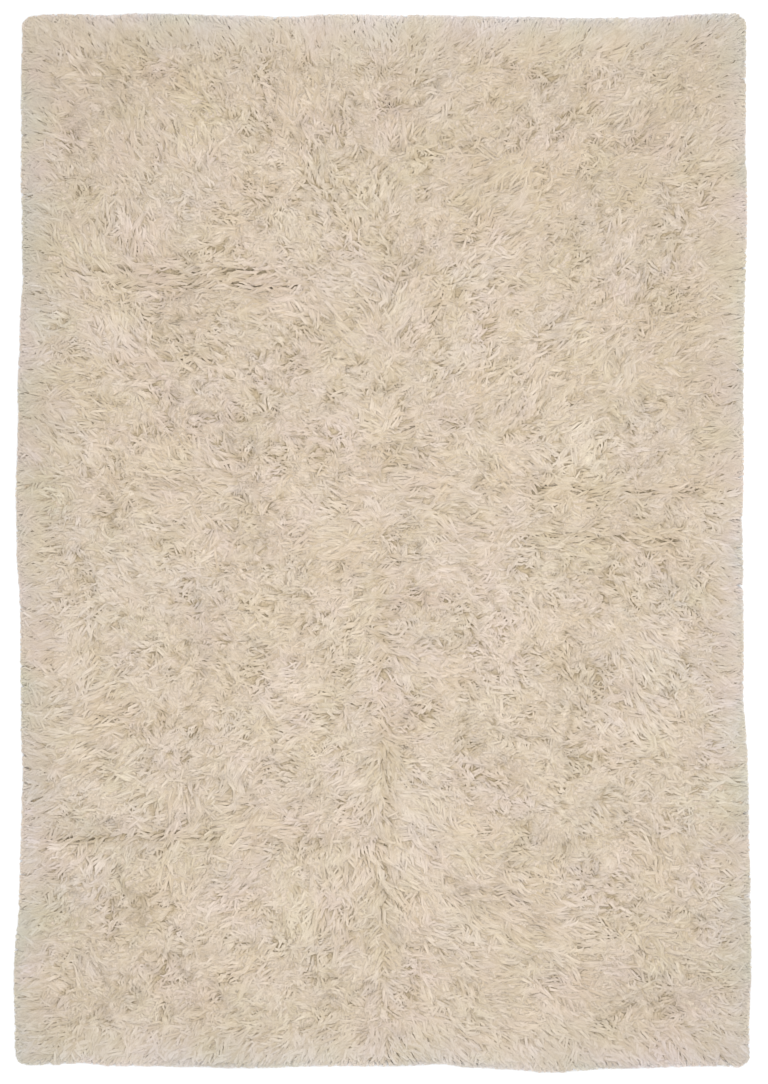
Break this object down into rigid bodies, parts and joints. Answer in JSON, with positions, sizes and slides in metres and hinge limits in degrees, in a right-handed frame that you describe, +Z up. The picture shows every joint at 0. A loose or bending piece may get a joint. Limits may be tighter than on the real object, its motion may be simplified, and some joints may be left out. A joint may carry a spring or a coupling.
{
  "type": "shag rug",
  "caption": "Rectangular shag rug of long cream wool pile, flat underneath, with a lumpy combed top and soft locks round its rim.",
  "frame": {"origin": "centre of the rug's flat underside, at the middle of its box", "axes": "+Z up out of the pile, +Y along the rug's long side towards its far short rim, +X across the rug to its right long rim"},
  "size_m": [1.6124, 2.3132, 0.0642],
  "materials": {
    "cream_wool": "long fluffy wool pile in warm cream, matt, with a soft sheen on the combed patches"
  },
  "bodies": {
    "root": {"shag_rug": "cream_wool"}
  },
  "joints": []
}
